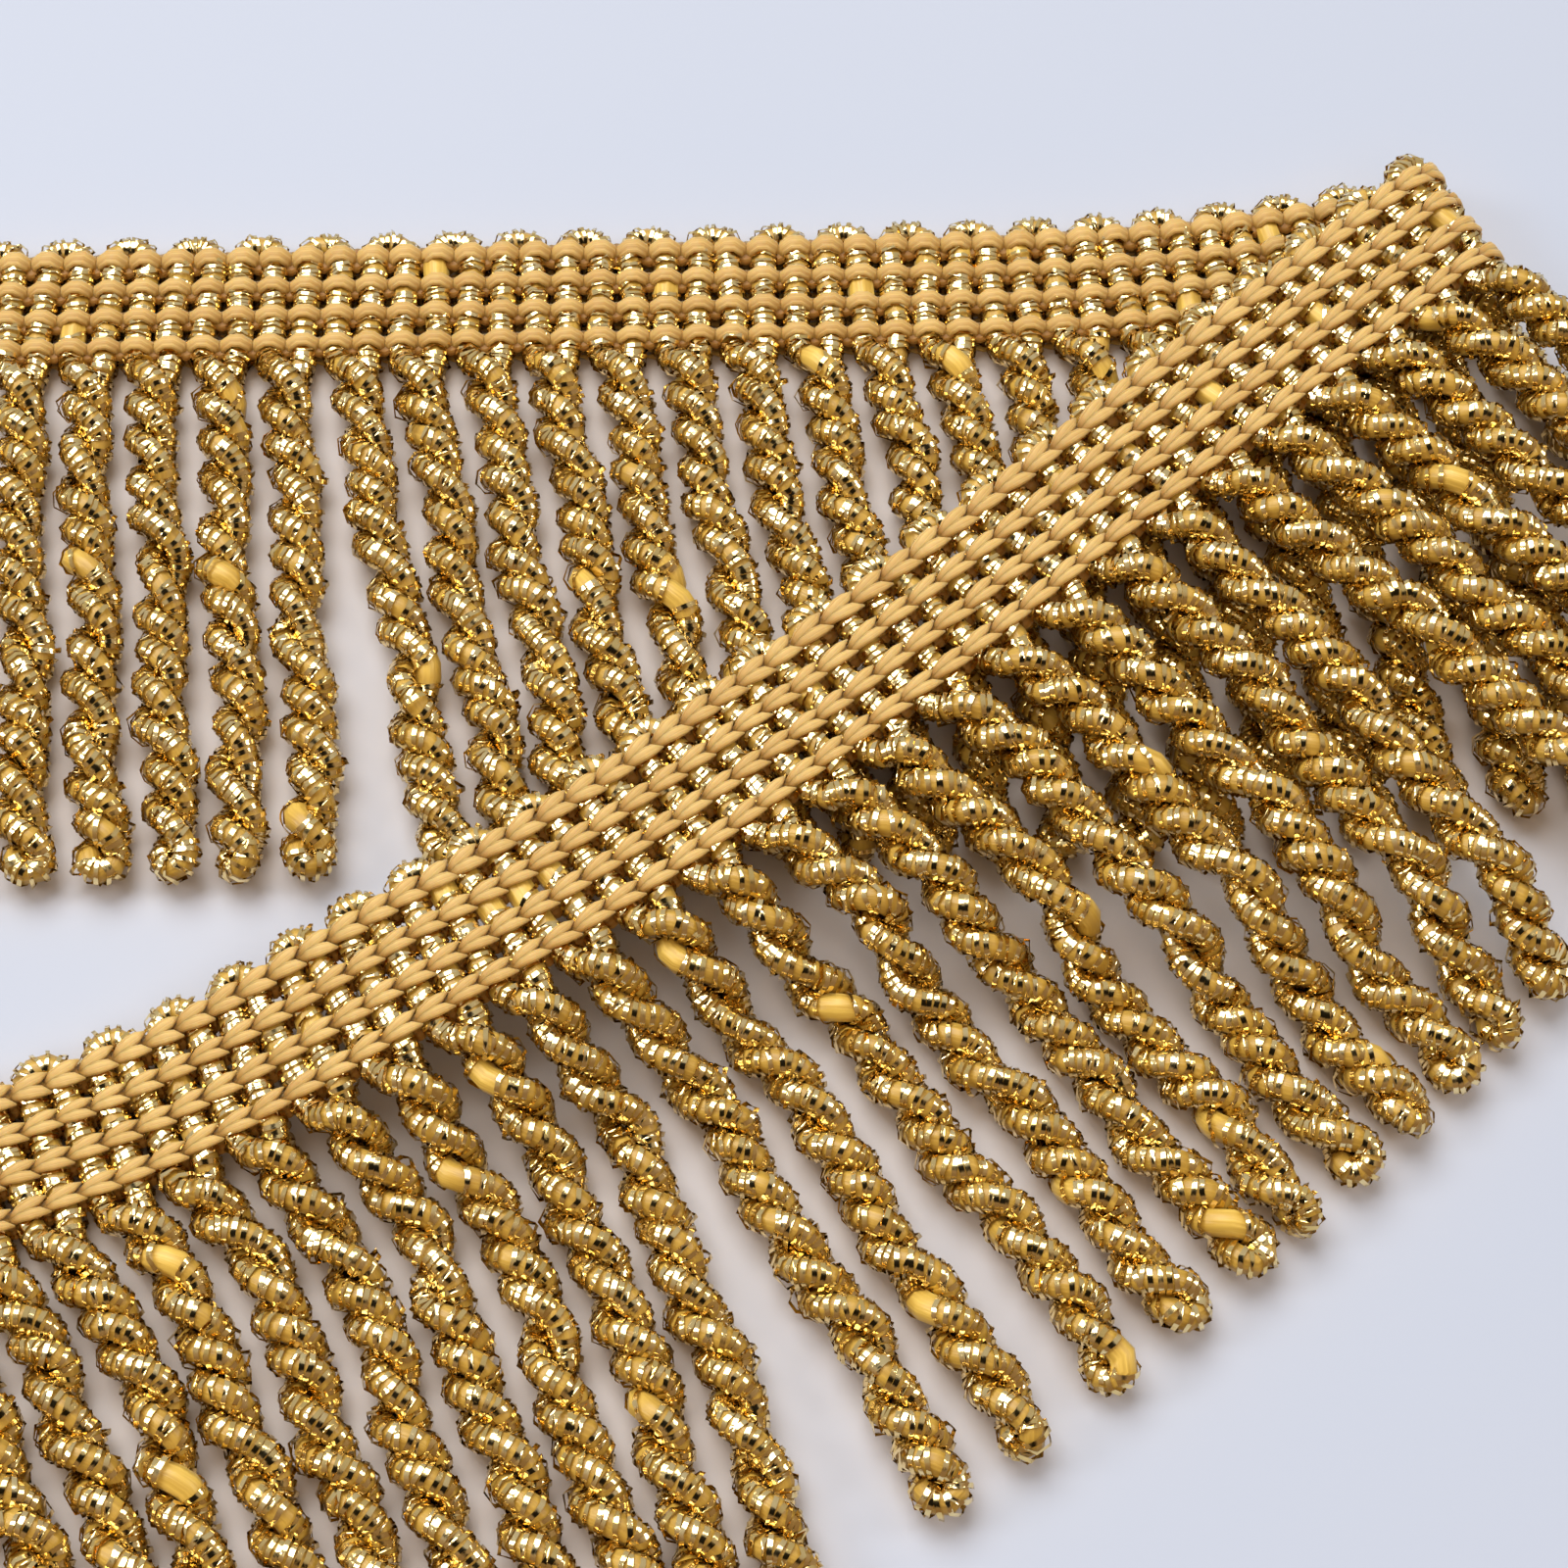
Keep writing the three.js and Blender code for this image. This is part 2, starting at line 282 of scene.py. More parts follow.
def on_strip(s, v, lift):
    """Points anywhere on the strip, in the part's own frame, in millimetres."""
    s, v, lift = np.broadcast_arrays(s, v, lift)
    x, y, angle = place_on(front_line, s - FOLD_PASSED)
    side = angle + math.pi / 2
    down = smoothstep(s, DESCENT_FROM, DESCENT_TO)
    height = HALF_THICK + 2 * FOLD_RADIUS * (1 - down) - lift
    front = np.stack((x + v * np.cos(side), y + v * np.sin(side), height), -1)
    point = np.where((s < FOLD_PASSED)[..., None], on_rear_run(s, v, lift), front)
    return point - np.array((*PLAN_CENTRE, 0))


def root_at(strand):
    """Length along the strip at a strand's number, which may be a fraction."""
    return lookup(ROOTS, "strand", strand, "at")


def strand_plan(strand):
    """Plan of a strand's middle line, from its root direction to its tip direction."""
    root_angle = lookup(LAYS, "strand", strand, "root")
    tip_angle = lookup(LAYS, "strand", strand, "tip")
    step = QUARTER_TURN * (1 if strand < FIRST_FRONT else SLOPED_SHARE)
    x, y, root_height = on_strip(root_at(strand), ROOT_AT, 0)
    plan = []
    for j in range(QUARTER_TURNS + 1):
        bend = max(0.0, 1 - j * step / LAY_BEND)
        angle = math.radians(tip_angle + (root_angle - tip_angle) * bend * bend)
        plan.append((x, y))
        x += step * math.cos(angle)
        y += step * math.sin(angle)
    return np.array(plan), root_height


def last_covered(plan, under):
    """The last step of a strand that has another strand under it, or -1."""
    last = -1
    for other in under:
        start = other[None, :-1]
        run = other[None, 1:] - start
        offset = plan[:, None] - start
        share = np.clip((offset * run).sum(2) / (run * run).sum(2), 0, 1)
        distance = np.linalg.norm(offset - run * share[..., None], axis=2).min(1)
        near = np.nonzero(distance < COVER_REACH)[0]
        if len(near):
            last = max(last, int(near[-1]))
    return last


def strand_heights(plan, root_height, under):
    """Middle-line heights: held up by what is under the strand, then down to the table."""
    last = last_covered(plan, under)
    held = max(root_height + ROOT_LIFT, STRAND_RADIUS) if last < 0 else LIFTED
    drop_from = max(last, 0)
    heights = [root_height]
    for j in range(1, len(plan)):
        down = smoothstep(j, drop_from, drop_from + DROP_STEPS)
        low = root_height < STRAND_RADIUS
        heights.append(STRAND_RADIUS if low else held + (STRAND_RADIUS - held) * down)
    return np.array(heights)


def smooth_through(points, steps):
    """A smooth curve through points, with so many steps between each two."""
    padded = np.vstack((2 * points[0] - points[1], points, 2 * points[-1] - points[-2]))
    fine = []
    for i in range(len(points) - 1):
        a, b, c, d = padded[i : i + 4]
        for k in range(steps):
            t = k / steps
            fine.append(
                0.5 * (2 * b + (c - a) * t + (2 * a - 5 * b + 4 * c - d) * t * t
                       + (3 * b - a - 3 * c + d) * t * t * t)
            )
    fine.append(points[-1])
    return np.array(fine)


# Paths that the gimp follows


def waves(table, j, phases):
    """The sum of a table's waves at every place, each started at its phase."""
    return sum(size * np.sin(j * rate + phase) for (size, rate), phase in zip(table, phases))


def strand_path(strand, middle, random):
    """One strand's gimp: down from its left column, round the tip and back to the right one."""
    fine = smooth_through(middle, PATH_STEPS)
    count = len(fine)
    j = np.arange(count) / PATH_STEPS
    along = np.gradient(fine, axis=0)
    along /= np.linalg.norm(along, axis=1)[:, None]
    side = np.stack((-along[:, 1], along[:, 0], np.zeros(count)), 1)
    side /= np.linalg.norm(side, axis=1)[:, None]
    up = np.cross(along, side)
    free = np.clip(j / FREE_AFTER, 0, 1)
    phases = random.uniform(0, 2 * math.pi, 6)
    sway = waves(SWAY_WAVES, j, phases[:2])
    rise = waves(RISE_WAVES, j, phases[2:3])
    fine = fine + side * (sway * free)[:, None] + up * (np.maximum(rise, 0) * free)[:, None]
    slack = waves(SLACK_WAVES, j, phases[3:5])
    turn = -math.pi / 2 * (j + slack * free)
    reach = PLY_REACH * (1 + waves(REACH_WAVES, j, phases[5:]))
    outward = side * np.cos(turn)[:, None] + up * np.sin(turn)[:, None]
    last = count - 1 - int(round(PATH_STEPS * TIP_LENGTH / QUARTER_TURN))
    first = PATH_STEPS // 3
    one = fine[first : last + 1] + (outward * reach[:, None])[first : last + 1]
    other = fine[first : last + 1] - (outward * reach[:, None])[first : last + 1]
    tip = []
    for angle in np.linspace(0, math.pi, TIP_POINTS + 2)[1:-1]:
        away = outward[last] * (reach[last] * math.cos(angle))
        tip.append(fine[last] + away + along[last] * math.sin(angle))
    left = [on_strip(root_at(strand - COLUMN_SHARE), v, 0) for v in (HALF_ROWS, LOWER)]
    right = [on_strip(root_at(strand + COLUMN_SHARE), v, 0) for v in (HALF_ROWS, LOWER)]
    if np.linalg.norm(one[0] - left[1]) > np.linalg.norm(other[0] - left[1]):
        one, other = other, one
        tip.reverse()
    return np.vstack((left, one, tip, other[::-1], right[::-1]))


def arch_path(index, random):
    """Gimp up one column of the heading, over an arch and down the next, or one cut column.

    The heading is knitted flat, its length along X and its arches at +Y, and folded after.
    """
    lean = random.uniform(-0.05, 0.05, 2)
    rises = np.linspace(HALF_ROWS, -HALF_ROWS, 2 * ROW_COUNT - 1)
    points = []
    left, right = index - COLUMN_SHARE, index + COLUMN_SHARE
    if left > -0.5:
        for v in rises:
            points.append((root_at(left + lean[0] * v / ROW_GAP), -v, 0))
    if left > -0.5 and right < STRANDS - 0.5:
        for angle in np.linspace(math.pi, 0, ARCH_POINTS):
            column = index + COLUMN_SHARE * math.cos(angle)
            rise = ARCH_RISE * max(math.sin(angle), 0) ** ARCH_FLATNESS
            points.append((root_at(column), HALF_ROWS + ARCH_START + rise, 0))
    if right < STRANDS - 0.5:
        for v in rises[::-1]:
            points.append((root_at(right + lean[1] * v / ROW_GAP), -v, 0))
    return np.array(points)


def path_object(name, paths):
    """Loose lines, one for each path, as a mesh object for a Geometry Nodes tree."""
    mesh = bpy.data.meshes.new(name)
    points = np.vstack(paths) * MM
    edges = []
    start = 0
    for path in paths:
        edges += [(start + k, start + k + 1) for k in range(len(path) - 1)]
        start += len(path)
    mesh.from_pydata(points.tolist(), edges, [])
    made = bpy.data.objects.new(name, mesh)
    bpy.context.scene.collection.objects.link(made)
    return made


# Short calls for node trees


def add_node(tree, kind, inputs=None, **settings):
    """A node with its settings, and its inputs linked or set, by name or number."""
    node = tree.nodes.new(kind)
    for name, value in settings.items():
        setattr(node, name, value)
    for name, value in (inputs or {}).items():
        if isinstance(value, bpy.types.NodeSocket):
            tree.links.new(value, node.inputs[name])
        else:
            node.inputs[name].default_value = value
    return node


def maths(tree, operation, *values):
    """The result of a Math node."""
    node = add_node(tree, "ShaderNodeMath", dict(enumerate(values)), operation=operation)
    return node.outputs[0]


def vectors(tree, operation, *values):
    """The result of a Vector Math node."""
    inputs = dict(enumerate(values))
    if operation == "SCALE":
        inputs = {0: values[0], "Scale": values[1]}
    return add_node(tree, "ShaderNodeVectorMath", inputs, operation=operation).outputs[0]


def new_socket(tree, name, kind, way="INPUT", value=None):
    """A named input or output of a tree."""
    socket = tree.interface.new_socket(name, in_out=way, socket_type=kind)
    if value is not None:
        socket.default_value = value
    return socket


def with_tree(made, tree, values):
    """Puts a Geometry Nodes tree on an object and sets its inputs by their identifiers."""
    modifier = made.modifiers.new(tree.name, "NODES")
    modifier.node_group = tree
    for item in tree.interface.items_tree:
        if item.in_out == "INPUT" and item.name in values:
            modifier[item.identifier] = values[item.name]
    return made


def baked(made, name):
    """The object's result as a plain mesh object of its own, without its modifiers."""
    bpy.context.view_layer.update()
    graph = bpy.context.evaluated_depsgraph_get()
    mesh = bpy.data.meshes.new_from_object(made.evaluated_get(graph), depsgraph=graph)
    mesh.name = name
    result = bpy.data.objects.new(name, mesh)
    bpy.context.scene.collection.objects.link(result)
    bpy.data.objects.remove(made)
    return result


def random_value(tree, seed, identity, low=0.0, high=1.0):
    """A random number that is the same wherever identity is the same."""
    inputs = {"ID": identity, "Seed": seed, 2: low, 3: high}
    return add_node(tree, "FunctionNodeRandomValue", inputs, data_type="FLOAT").outputs[1]


def noise_value(tree, place, pace, lane, detail=1.0):
    """Smooth noise from 0 to 1 that changes along a place at a pace, its own in each lane."""
    w = maths(tree, "ADD", maths(tree, "MULTIPLY", place, pace), lane)
    inputs = {"W": w, "Scale": 1.0, "Detail": detail}
    return add_node(tree, "ShaderNodeTexNoise", inputs, noise_dimensions="1D").outputs[0]


# Gimp: core and tape along any path


def bare_mask(tree, length, curve, seed, given):
    """1 where the tape has slipped and the core lies bare, falling to 0 around it."""
    cell_size = given["Bare Spacing"]
    place = maths(tree, "DIVIDE", length, cell_size)
    cell = maths(tree, "FLOOR", place)
    identity = maths(tree, "ADD", cell, maths(tree, "MULTIPLY", curve, BARE_LANE))
    centre = random_value(tree, seed, identity, 0.3, 0.7)
    chosen = random_value(tree, maths(tree, "ADD", seed, 5.0), identity)
    there = maths(tree, "LESS_THAN", chosen, given["Bare Share"])
    away = maths(tree, "ABSOLUTE", maths(tree, "SUBTRACT", maths(tree, "FRACT", place), centre))
    away = maths(tree, "MULTIPLY", away, cell_size)
    inputs = {"Value": away, "From Min": BARE_REACH * MM, "From Max": BARE_FADE * MM, "To Min": 1.0,
              "To Max": 0.0}
    near = add_node(tree, "ShaderNodeMapRange", inputs, interpolation_type="SMOOTHSTEP")
    return maths(tree, "MULTIPLY", near.outputs[0], there)


def core_geometry(tree, given, lines, length, lane, bare):
    """The core: a soft round yarn along the lines, a little swollen where it lies bare."""
    core_line = add_node(
        tree, "GeometryNodeResampleCurve",
        {"Curve": lines, "Length": given["Core Step"]}, mode="LENGTH",
    ).outputs[0]
    core_line = add_node(
        tree, "GeometryNodeStoreNamedAttribute",
        {"Geometry": core_line, "Name": "along", "Value": length}, data_type="FLOAT",
        domain="POINT",
    ).outputs[0]
    # Painted shade: the core is painted darker where the tape covers it, and hardly at all where it
    # lies bare
    shade_under_tape = maths(tree, "MULTIPLY_ADD", bare, -0.6, 0.65)
    core_line = add_node(
        tree, "GeometryNodeStoreNamedAttribute",
        {"Geometry": core_line, "Name": "hollow", "Value": shade_under_tape}, data_type="FLOAT",
        domain="POINT",
    ).outputs[0]
    wave = noise_value(tree, length, SWELL_PACE, lane)
    swell = maths(tree, "MULTIPLY_ADD", wave, 0.16, 0.9)
    swell = maths(tree, "MULTIPLY_ADD", bare, BARE_SWELL, swell)
    circle = add_node(
        tree, "GeometryNodeCurvePrimitiveCircle",
        {"Resolution": given["Core Sides"], "Radius": given["Core Radius"]},
    ).outputs[0]
    position = tree.nodes.new("GeometryNodeInputPosition").outputs[0]
    circle = add_node(
        tree, "GeometryNodeStoreNamedAttribute",
        {"Geometry": circle, "Name": "round", "Value": vectors(tree, "NORMALIZE", position)},
        data_type="FLOAT_VECTOR", domain="POINT",
    ).outputs[0]
    core = add_node(
        tree, "GeometryNodeCurveToMesh",
        {"Curve": core_line, "Profile Curve": circle, "Scale": swell, "Fill Caps": True},
    ).outputs[0]
    core = add_node(
        tree, "GeometryNodeSetMaterial", {"Geometry": core, "Material": given["Core Material"]},
    ).outputs[0]
    return core


def tape_geometry(tree, given, lines, length, curve, lane, bare):
    """The tape: fine steps along the lines, each turned on by the winding's density."""
    seed = given["Seed"]
    step = maths(tree, "DIVIDE", given["Wrap Pitch"], given["Tape Sides"])
    tape_line = add_node(
        tree, "GeometryNodeResampleCurve", {"Curve": lines, "Length": step}, mode="LENGTH",
    ).outputs[0]
    drift = noise_value(tree, length, DENSITY_PACE, lane)
    density = maths(tree, "MULTIPLY_ADD", drift, given["Unevenness"],
                    maths(tree, "SUBTRACT", 1.0, maths(tree, "MULTIPLY", given["Unevenness"], 0.5)))
    density = maths(tree, "MULTIPLY", density,
                    maths(tree, "SUBTRACT", 1.0, maths(tree, "MULTIPLY", bare, 0.9)))
    step_turn = maths(tree, "DIVIDE", 2 * math.pi, given["Tape Sides"])
    turn = add_node(
        tree, "GeometryNodeAccumulateField",
        {"Value": maths(tree, "MULTIPLY", density, step_turn), "Group ID": curve},
        data_type="FLOAT", domain="POINT",
    ).outputs["Leading"]
    wrap = maths(tree, "FLOOR", maths(tree, "DIVIDE", turn, 2 * math.pi))
    wrap_identity = maths(tree, "ADD", wrap, maths(tree, "MULTIPLY", curve, WRAP_LANE))
    span = maths(tree, "DIVIDE", turn, 2 * math.pi * LOOSE_SPAN)
    span_identity = maths(tree, "ADD", maths(tree, "FLOOR", span),
                          maths(tree, "MULTIPLY", curve, SPAN_LANE))
    arc = maths(tree, "SINE", maths(tree, "MULTIPLY", maths(tree, "FRACT", span), math.pi))
    arc = maths(tree, "POWER", arc, 2.0)
    loose = maths(tree, "LESS_THAN",
                  random_value(tree, maths(tree, "ADD", seed, 11.0), span_identity),
                  given["Flare Share"])
    much = random_value(tree, maths(tree, "ADD", seed, 17.0), span_identity, 0.35, 1.0)
    flare = maths(tree, "MULTIPLY", maths(tree, "MULTIPLY", arc, loose),
                  maths(tree, "MULTIPLY", much, given["Flare"]))
    ripple = noise_value(tree, turn, RIPPLE_PACE, lane)
    spread = maths(tree, "MULTIPLY_ADD", ripple, 0.16, 0.93)
    radius = maths(tree, "MULTIPLY_ADD", given["Tape Radius"], spread, flare)
    jitter = noise_value(tree, turn, JITTER_PACE, maths(tree, "ADD", lane, 50.0))
    jitter = maths(tree, "MULTIPLY", maths(tree, "SUBTRACT", jitter, 0.5),
                   maths(tree, "MULTIPLY", given["Wrap Pitch"], JITTER_REACH))
    normal = tree.nodes.new("GeometryNodeInputNormal").outputs[0]
    tangent = tree.nodes.new("GeometryNodeInputTangent").outputs[0]
    binormal = vectors(tree, "CROSS_PRODUCT", tangent, normal)
    radial = vectors(tree, "ADD", vectors(tree, "SCALE", normal, maths(tree, "COSINE", turn)),
                     vectors(tree, "SCALE", binormal, maths(tree, "SINE", turn)))
    tilt = noise_value(tree, turn, TILT_PACE, maths(tree, "ADD", lane, 90.0), detail=2.0)
    tilt = maths(tree, "MULTIPLY", maths(tree, "SUBTRACT", tilt, 0.5), TILT_REACH)
    facing = vectors(tree, "ADD", radial, vectors(tree, "SCALE", tangent, tilt))
    offset = vectors(tree, "ADD", vectors(tree, "SCALE", radial, radius),
                     vectors(tree, "SCALE", tangent, jitter))
    kept = tree.nodes.new("GeometryNodeCaptureAttribute")
    kept.domain = "POINT"
    kept.capture_items.new("VECTOR", "facing")
    kept.capture_items.new("VECTOR", "offset")
    kept.capture_items.new("FLOAT", "tone")
    tone = random_value(tree, maths(tree, "ADD", seed, 23.0), wrap_identity)
    tree.links.new(tape_line, kept.inputs["Geometry"])
    tree.links.new(facing, kept.inputs["facing"])
    tree.links.new(offset, kept.inputs["offset"])
    tree.links.new(tone, kept.inputs["tone"])
    tape_line = add_node(
        tree, "GeometryNodeSetPosition",
        {"Geometry": kept.outputs["Geometry"], "Offset": kept.outputs["offset"]},
    ).outputs[0]
    tape_line = add_node(
        tree, "GeometryNodeSetCurveNormal",
        {"Curve": tape_line, "Normal": kept.outputs["facing"]}, mode="FREE",
    ).outputs[0]
    tape_line = add_node(
        tree, "GeometryNodeStoreNamedAttribute",
        {"Geometry": tape_line, "Name": "tone", "Value": kept.outputs["tone"]},
        data_type="FLOAT", domain="POINT",
    ).outputs[0]

    # its section: a flat triangle with its long side outwards
    shape = add_node(
        tree, "GeometryNodeCurvePrimitiveCircle", {"Resolution": 3, "Radius": 1.0},
    ).outputs[0]
    size = add_node(
        tree, "ShaderNodeCombineXYZ",
        {"X": maths(tree, "DIVIDE", given["Tape Thickness"], 1.5),
         "Y": maths(tree, "DIVIDE", given["Tape Width"], math.sqrt(3)), "Z": 1.0},
    ).outputs[0]
    shape = add_node(
        tree, "GeometryNodeTransform",
        {"Geometry": shape, "Scale": size, "Rotation": (0, 0, math.pi)},
    ).outputs[0]
    tape = add_node(
        tree, "GeometryNodeCurveToMesh",
        {"Curve": tape_line, "Profile Curve": shape, "Fill Caps": True},
    ).outputs[0]
    edge = tree.nodes.new("GeometryNodeInputMeshEdgeAngle").outputs[0]
    tape = add_node(
        tree, "GeometryNodeSetShadeSmooth",
        {"Geometry": tape, "Selection": maths(tree, "GREATER_THAN", edge, 1.75),
         "Shade Smooth": False}, domain="EDGE",
    ).outputs[0]
    tape = add_node(
        tree, "GeometryNodeSetMaterial", {"Geometry": tape, "Material": given["Tape Material"]},
    ).outputs[0]
    return tape


def gimp_tree():
    """Turns loose lines into gimp: a soft core, and a flat tape wound round it unevenly."""
    tree = bpy.data.node_groups.new("Wrapped gimp", "GeometryNodeTree")
    new_socket(tree, "Geometry", "NodeSocketGeometry", "OUTPUT")
    new_socket(tree, "Geometry", "NodeSocketGeometry")
    for name in ("Core Radius", "Core Step", "Tape Radius", "Tape Width", "Tape Thickness",
                 "Wrap Pitch", "Unevenness", "Flare", "Flare Share", "Bare Spacing",
                 "Bare Share"):
        new_socket(tree, name, "NodeSocketFloat")
    for name in ("Tape Sides", "Core Sides", "Seed"):
        new_socket(tree, name, "NodeSocketInt")
    for name in ("Core Material", "Tape Material"):
        new_socket(tree, name, "NodeSocketMaterial")
    given = tree.nodes.new("NodeGroupInput").outputs
    seed = given["Seed"]
    lines = add_node(tree, "GeometryNodeMeshToCurve", {"Mesh": given["Geometry"]}).outputs[0]
    length = tree.nodes.new("GeometryNodeSplineParameter").outputs["Length"]
    curve = tree.nodes.new("GeometryNodeCurveOfPoint").outputs["Curve Index"]
    lane = maths(tree, "ADD", maths(tree, "MULTIPLY", curve, NOISE_LANE), seed)
    bare = bare_mask(tree, length, curve, seed, given)
    core = core_geometry(tree, given, lines, length, lane, bare)
    tape = tape_geometry(tree, given, lines, length, curve, lane, bare)
    both = tree.nodes.new("GeometryNodeJoinGeometry")
    tree.links.new(tape, both.inputs[0])
    tree.links.new(core, both.inputs[0])
    whole = add_node(tree, "GeometryNodeRealizeInstances", {"Geometry": both.outputs[0]}).outputs[0]
    end = tree.nodes.new("NodeGroupOutput")
    tree.links.new(whole, end.inputs[0])
    return tree


# One stitch along +X with its chain face up, in millimetres. Painted shade is how much darker the
# yarn is painted where it lies deep in the knitting, from 0 to 1. A limb is half of a chain link,
# from the hole of the last link. The spine is the yarn seen deep between the limbs, the under tube
# the yarn between the purls; both are painted dark with shade.
LIMB = (
    {"at": (-1.30, 0.06, 0.20), "width": 0.34, "thick": 0.26, "hollow": 1.0},
    {"at": (-0.90, 0.10, 0.72), "width": 0.50, "thick": 0.32, "hollow": 0.9},
    {"at": (-0.42, 0.19, 1.04), "width": 0.68, "thick": 0.34, "hollow": 0.2},
    {"at": (0.22, 0.29, 1.12), "width": 0.77, "thick": 0.34, "hollow": 0.0},
    {"at": (0.88, 0.38, 1.08), "width": 0.62, "thick": 0.30, "hollow": 0.0},
    {"at": (1.45, 0.53, 0.86), "width": 0.12, "thick": 0.12, "hollow": 0.1},
)
SPINE = (
    {"at": (-1.30, 0, 0.62), "width": 0.90, "thick": 0.30, "hollow": 0.85},
    {"at": (0.0, 0, 0.80), "width": 0.70, "thick": 0.30, "hollow": 0.85},
    {"at": (1.10, 0, 0.62), "width": 0.90, "thick": 0.30, "hollow": 0.85},
)
UNDER = (
    {"at": (-2.00, 0, -0.30), "width": 1.20, "thick": 0.34, "hollow": 0.95},
    {"at": (-1.12, 0, -0.16), "width": 1.80, "thick": 0.42, "hollow": 0.95},
    {"at": (-0.25, 0, -0.30), "width": 1.20, "thick": 0.34, "hollow": 0.95},
)
PURL = (
    {"at": (-0.99, -0.26, 0.35), "width": 0.40, "thick": 0.30, "hollow": 0.9},
    {"at": (-1.03, -0.18, -0.15), "width": 0.72, "thick": 0.34, "hollow": 0.7},
    {"at": (-0.86, -0.05, -0.68), "width": 1.00, "thick": 0.36, "hollow": 0.2},
    {"at": (-0.32, 0.09, -1.03), "width": 1.12, "thick": 0.38, "hollow": 0.0},
    {"at": (0.32, 0.09, -1.03), "width": 1.12, "thick": 0.38, "hollow": 0.0},
    {"at": (0.86, -0.05, -0.68), "width": 1.00, "thick": 0.36, "hollow": 0.2},
    {"at": (1.03, -0.18, -0.15), "width": 0.72, "thick": 0.34, "hollow": 0.7},
    {"at": (0.99, -0.26, 0.35), "width": 0.40, "thick": 0.30, "hollow": 0.9},
)


def swept(rows, sides, hand):
    """Points, faces and yarn values of a closed tube along X with an oval section."""
    middles = np.array([row["at"] for row in rows]) * (1, hand, 1)
    along = np.gradient(middles, axis=0)
    along /= np.linalg.norm(along, axis=1)[:, None]
    points, values = [], []
    for k, row in enumerate(rows):
        flat = np.cross((0, 0, 1), along[k])
        flat /= np.linalg.norm(flat)
        over = np.cross(along[k], flat)
        for m in range(sides):
            angle = 2 * math.pi * m / sides
            wide = flat * (row["width"] / 2 * math.cos(angle))
            points.append(middles[k] + wide + over * (row["thick"] / 2 * math.sin(angle)))
            values.append((math.cos(angle), math.sin(angle), 0, row["hollow"], middles[k][0] * MM))
    faces = [tuple(range(sides))[::-1], tuple(range(len(points) - sides, len(points)))]
    for k in range(len(rows) - 1):
        for m in range(sides):
            a, b = k * sides + m, k * sides + (m + 1) % sides
            faces.append((a, b, b + sides, a + sides))
    return points, faces, values


def stitch_object(name, tubes):
    """One stitch as an object, made of tubes: each its rows, its sides and its hand."""
    points, faces, values = [], [], []
    for rows, sides, hand in tubes:
        start = len(points)
        made = swept(rows, sides, hand)
        points += made[0]
        faces += [tuple(start + i for i in face) for face in made[1]]
        values += made[2]
    mesh = bpy.data.meshes.new(name)
    mesh.from_pydata((np.array(points) * MM).tolist(), [], faces)
    mesh.shade_smooth()
    mesh.materials.append(chain_yarn)
    values = np.array(values, dtype=np.float32)
    mesh.attributes.new("round", "FLOAT_VECTOR", "POINT").data.foreach_set(
        "vector", values[:, :3].ravel())
    # how much shade is painted on the yarn where it lies deep
    mesh.attributes.new("hollow", "FLOAT", "POINT").data.foreach_set("value", values[:, 3])
    mesh.attributes.new("along", "FLOAT", "POINT").data.foreach_set("value", values[:, 4])
    made = bpy.data.objects.new(name, mesh)
    bpy.context.scene.collection.objects.link(made)
    return made


def stitch_places():
    """A point for each stitch of the heading, knitted flat, with the stitch's size."""
    places, sizes = [], []
    for column in range(2 * STRANDS):
        index = column / 2 - COLUMN_SHARE
        pitch = root_at(index + COLUMN_SHARE) - root_at(index - COLUMN_SHARE)
        for row in range(ROW_COUNT):
            places.append((root_at(index), HALF_ROWS - row * ROW_GAP, 0))
            heavy = EDGE_HEAVY if row == 0 else 1.0
            sizes.append((pitch / STITCH_PITCH, heavy, 1.0))
    mesh = bpy.data.meshes.new("stitch_places")
    mesh.from_pydata((np.array(places) * MM).tolist(), [], [])
    layer = mesh.attributes.new("size", "FLOAT_VECTOR", "POINT")
    layer.data.foreach_set("vector", np.array(sizes, dtype=np.float32).ravel())
    made = bpy.data.objects.new("stitch_places", mesh)
    bpy.context.scene.collection.objects.link(made)
    return made


